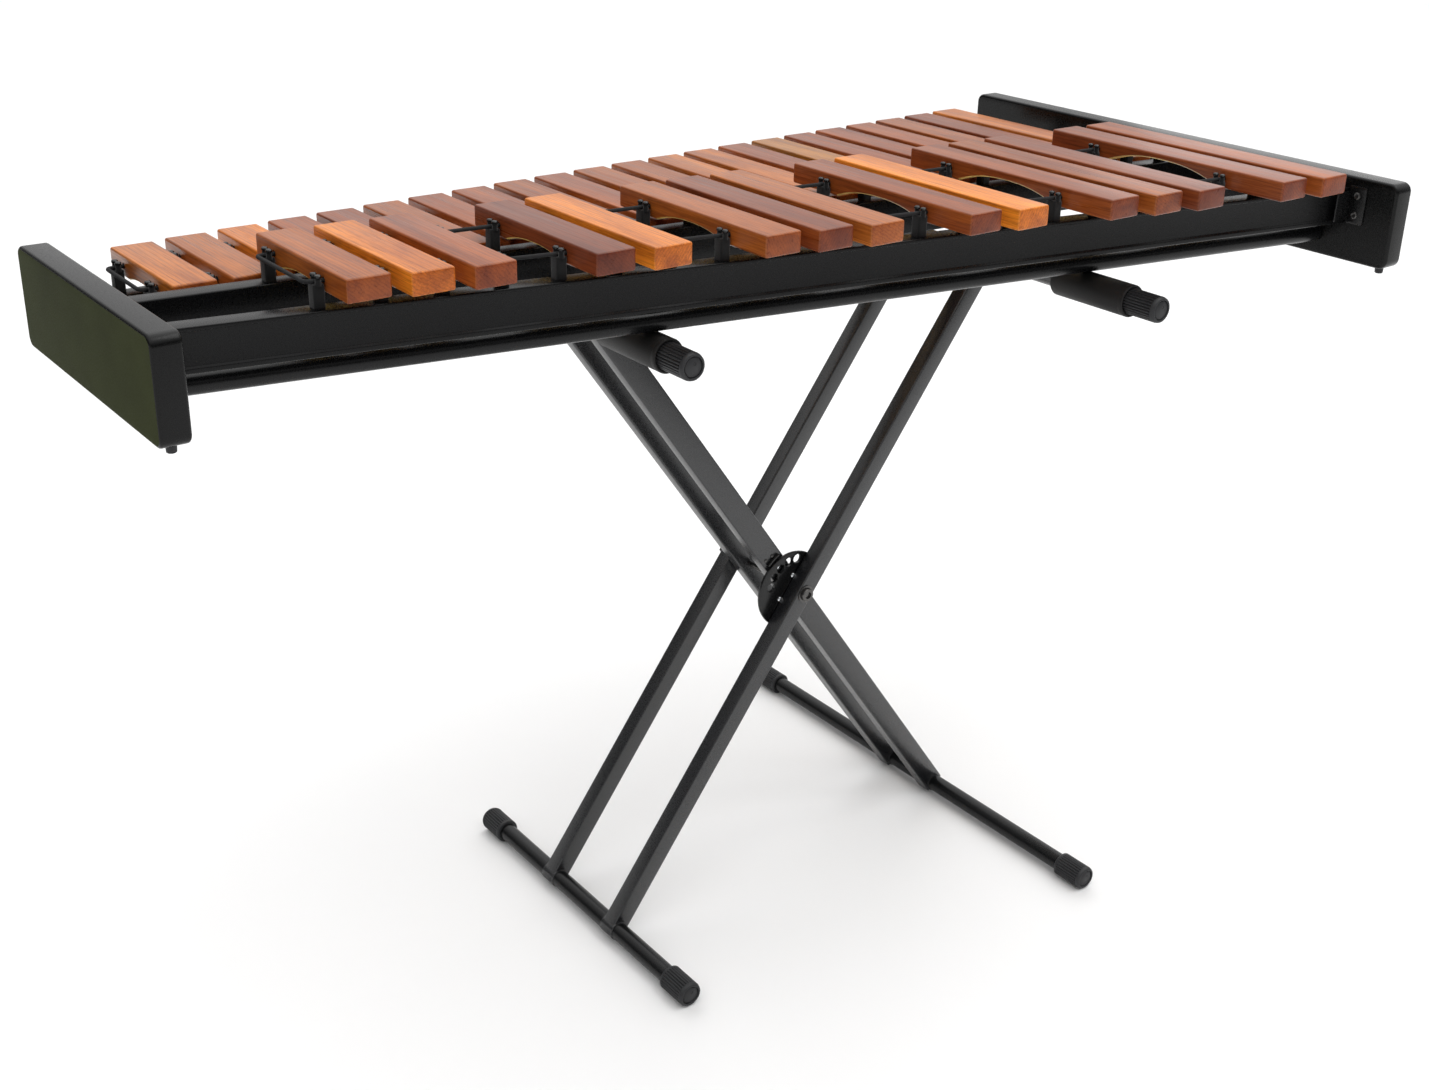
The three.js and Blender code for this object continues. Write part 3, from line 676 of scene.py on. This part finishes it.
# lock plate with its ring of holes
plate_y = MID_Y - LEG_A["off"] + LEG_A["d"] / 2 + 0.3
along = math.pi / 2 - LEAN
rim = []
for k in range(41):
    t = along - 0.26 + (math.pi + 0.52) * k / 40
    x, z = PIVOT_X + PLATE_SHIFT[0], PIVOT_Z + PLATE_SHIFT[1]
    rim.append((x + PLATE_R * math.cos(t), z + PLATE_R * math.sin(t)))
ring_holes = []
for k in range(-2, 3):
    t = math.pi / 2 + LEAN + math.radians(PLATE_STEP * k)
    x, z = PIVOT_X + PLATE_RING * math.cos(t), PIVOT_Z + PLATE_RING * math.sin(t)
    ring_holes.append(circle(x, z, PLATE_HOLE_R, 32))
v, f = prism(rim, ring_holes, plate_y, plate_y + PLATE_T, lambda a, b, t: (a, t, b), 0.5, 2)
o = make("lock_plate", v, f, PLATE_BLACK, "frame_a")
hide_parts("lock_disc")

# rivets and seam on the plate, and the pivot bolt with its washer and nut
parts = []
ax, az = math.sin(LEAN), math.cos(LEAN)
for s in (-18.0, 10.6):
    x, z = PIVOT_X + ax * s - az * 10.6, PIVOT_Z + az * s + ax * 10.6
    prof = [(0.2, 0.3), (0.2, 3.0), (-0.6, 2.8), (-1.5, 1.8), (-1.8, 0.3)]
    prof = [(plate_y + y, r) for y, r in prof]
    parts.append((*turned_y(x, z, prof, segs=24), 1))
seam = ((-34, 9.9), (-34, 11.3), (6, 11.3), (6, 9.9))
seam = [(PIVOT_X + ax * s - az * w, PIVOT_Z + az * s + ax * w) for s, w in seam]
parts.append((*prism(seam, [], plate_y - 0.5, plate_y + 0.2, lambda a, b, t: (a, t, b), 0.2, 1), 2))
face = MID_Y - LEG_A["off"] - LEG_A["d"] / 2
prof = [(face, 0.4), (face, 9.4), (face - 1.2, 9.4), (face - 1.4, 7.4), (face - 4.2, 7.2), (face - 5.0, 6.4),
        (face - 5.0, 3.8), (face - 3.0, 3.4), (face - 3.0, 0.4)]
parts.append((*turned_y(PIVOT_X, PIVOT_Z, prof, segs=36), 0))
back = MID_Y + LEG_A["off"] + LEG_A["d"] / 2
prof = [(0.0, 0.4), (0.0, 9.6), (1.2, 9.6), (1.4, 7.8), (6.0, 7.8), (6.8, 6.6), (6.8, 0.4)]
prof = [(back + y, r) for y, r in prof]
parts.append((*turned_y(PIVOT_X, PIVOT_Z, prof, segs=6), 0))
parts.append((*turned_y(PIVOT_X, PIVOT_Z, [(face, 3.8), (back, 3.8)], segs=24), 0))
v, f, fm = merge(parts)
o = make("pivot_bolt", v, f, [DARK_STEEL, CHROME, PLATE_BLACK], "frame_a", fm)

# painted shadow: a thin black curved strip on the inner leg, following the plate's rim around the lock pin,
# stands for the shadow the lock plate casts there; two small screws beside it
def from_pivot(r, degrees):
    t = math.radians(degrees)
    return PIVOT_X + r * math.cos(t), PIVOT_Z + r * math.sin(t)


# outline of the black strip that paints the lock plate's shadow on leg B
painted_plate_shadow = [from_pivot(46.0, t) for t in range(116, 137, 2)]
painted_plate_shadow += [from_pivot(48.6, t) for t in range(136, 115, -2)]
leg_b_face = MID_Y - LEG_B["off"] - LEG_B["d"] / 2
parts = [(*prism(painted_plate_shadow, [], leg_b_face - 3.4, leg_b_face + 0.2, lambda a, b, t: (a, t, b), 0.5, 2), 0)]
for r, t in ((50.4, 123.5), (52.6, 133.0)):
    x, z = from_pivot(r, t)
    prof = [(0.2, 0.3), (0.2, 2.2), (-0.7, 2.0), (-1.4, 0.3)]
    prof = [(leg_b_face + y, r) for y, r in prof]
    parts.append((*turned_y(x, z, prof, segs=20), 1))
v, f, fm = merge(parts)
o = make("plate_shadow_strip_and_screws", v, f, [PLATE_BLACK, DARK_STEEL], "frame_b", fm)

# lock pin: domed chrome tip behind the plate's hole, ribbed pull knob behind the leg
pin_x = PIVOT_X - PLATE_RING * math.sin(LEAN)
pin_z = PIVOT_Z + PLATE_RING * math.cos(LEAN)
tip = plate_y + 3.5
knob = MID_Y - LEG_B["off"] + LEG_B["d"] / 2 + 6
shaft = [(tip, 0.3), (tip + 0.2, 1.6), (tip + 0.9, 2.8), (tip + 2.0, 3.4)]
shaft += [(knob + 0.5, 3.4), (knob + 0.5, 0.3)]
grip = [(knob, 0.3), (knob, 7.6), (knob + 1, 8.5), (knob + 2, 8.5), (knob + 2.2, 8.5), (knob + 13.8, 8.5)]
grip += [(knob + 14, 8.5), (knob + 15, 8.5), (knob + 16, 7.6), (knob + 16, 0.4)]
grip = turned_y(pin_x, pin_z, grip, segs=120, ribs=20, depth=0.7,
                ribbed=lambda y: knob + 2.1 < y < knob + 13.9)
v, f, fm = merge([(*turned_y(pin_x, pin_z, shaft, segs=48), 0), (*grip, 1)])
o = make("lock_pin_chrome", v, f, [CHROME, RUBBER], "lock_pin", fm, angle=50)
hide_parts("lock_pin")

# one cap-head screw under each leg, through the foot tube
for body, x, off in (("frame_a", foot_a, LEG_A["off"]), ("frame_b", foot_b, LEG_B["off"])):
    parts = []
    for s in (-1, 1):
        y = MID_Y + s * off
        prof = [(4.2, 0.3), (4.2, 3.6), (2.2, 3.6), (1.5, 2.8), (1.5, 1.6), (2.4, 1.4), (2.4, 0.3)]
        v, f = lathe(prof, lambda a, b, t, x=x, y=y: (x + a, y + b, t), segs=20)
        parts.append((v, f, 0))
    v, f, fm = merge(parts)
    o = make("foot_screws_" + body[-1], v, f, DARK_STEEL, body, fm)


# ---------------------------------------------------------------- stage, light, camera
m, nt, bsdf, tex = new_material("studio_floor")
tone = noise(nt, mapping(nt, tex, (0.6, 0.6, 0.6)), 1.0, 3, 0.5)
pale = ramp(nt, tone, [(0.3, (0.89, 0.89, 0.89)), (0.7, (0.92, 0.92, 0.92))])
nt.links.new(pale, bsdf.inputs["Base Color"])
bsdf.inputs["Roughness"].default_value = 0.55
me = bpy.data.meshes.new("floor")
me.from_pydata([(-14, -14, 0), (14, -14, 0), (14, 14, 0), (-14, 14, 0)], [], [(0, 1, 2, 3)])
me.materials.append(m)
floor = bpy.data.objects.new("floor", me)
bpy.context.scene.collection.objects.link(floor)

scene = bpy.context.scene
scene.view_settings.view_transform = "Standard"
world = bpy.data.worlds.new("studio")
world.use_nodes = True
wt = world.node_tree
wt.nodes["Background"].inputs["Color"].default_value = (1.0, 1.0, 1.0, 1.0)
where = wt.nodes.new("ShaderNodeTexCoord").outputs["Generated"]


def toward(direction, start, end, amount):
    """Brightness that grows as the sky direction nears the given one."""
    d = wt.nodes.new("ShaderNodeVectorMath")
    d.operation = "DOT_PRODUCT"
    wt.links.new(where, d.inputs[0])
    d.inputs[1].default_value = Vector(direction).normalized()
    r = wt.nodes.new("ShaderNodeMapRange")
    r.interpolation_type = "SMOOTHSTEP"
    r.inputs["From Min"].default_value = start
    r.inputs["From Max"].default_value = end
    r.inputs["To Max"].default_value = amount
    wt.links.new(d.outputs["Value"], r.inputs["Value"])
    return r.outputs["Result"]


def total(a, b):
    n = wt.nodes.new("ShaderNodeMath")
    n.operation = "ADD"
    for s, v in zip(n.inputs, (a, b)):
        if isinstance(v, float):
            s.default_value = v
        else:
            wt.links.new(v, s)
    return n.outputs[0]


# overhead bank and a pale backdrop ahead of the camera; darker to the left, behind it and far right
overhead = toward((0, 0, 1), 0.15, 0.95, 1.25)
backdrop = toward((0.56, 0.71, 0.36), 0.60, 1.0, 0.30)
left = toward((-0.75, 0.55, 0.36), 0.35, 0.95, -0.44)
sky = total(total(0.48, overhead), total(backdrop, left))
sky = total(sky, toward((0.1, -1.0, 0.15), 0.25, 0.95, -0.40))
sky = total(sky, toward((0.95, 0.25, 0.15), 0.75, 1.0, -0.25))
wt.links.new(sky, wt.nodes["Background"].inputs["Strength"])
scene.world = world


def area_light(name, where, aim, size, power):
    data = bpy.data.lights.new(name, "AREA")
    data.shape = "RECTANGLE"
    data.size, data.size_y = size
    data.energy = power
    o = bpy.data.objects.new(name, data)
    scene.collection.objects.link(o)
    o.location = where
    o.rotation_euler = (Vector(aim) - Vector(where)).to_track_quat("-Z", "Y").to_euler()


area_light("key", (1.0, -1.0, 3.2), (0, 0, 0.6), (2.0, 1.6), 20)
area_light("top", (0.6, 0.8, 3.4), (0, 0, 0.7), (3.0, 2.4), 9)
area_light("rim", (3.2, 1.4, 1.8), (0, 0, 0.5), (1.4, 2.0), 6)

az_c, el_c, roll_c = math.radians(-37.333), math.radians(23.53), math.radians(1.249)
back_v = Vector((math.sin(az_c) * math.cos(el_c), -math.cos(az_c) * math.cos(el_c), math.sin(el_c)))
right_v = (-back_v).cross(Vector((0, 0, 1))).normalized()
up_v = right_v.cross(-back_v)
cam_x = right_v * math.cos(roll_c) + up_v * math.sin(roll_c)
cam_y = up_v * math.cos(roll_c) - right_v * math.sin(roll_c)
cam_data = bpy.data.cameras.new("camera")
cam_data.sensor_width = 36.0
cam_data.lens = 44.525
cam_data.shift_y = -0.02
cam = bpy.data.objects.new("camera", cam_data)
scene.collection.objects.link(cam)
turn = Matrix((cam_x, cam_y, back_v)).transposed().to_4x4()
cam.matrix_world = Matrix.Translation(Vector((-1.0202, -1.3013, 1.1449))) @ turn
scene.camera = cam
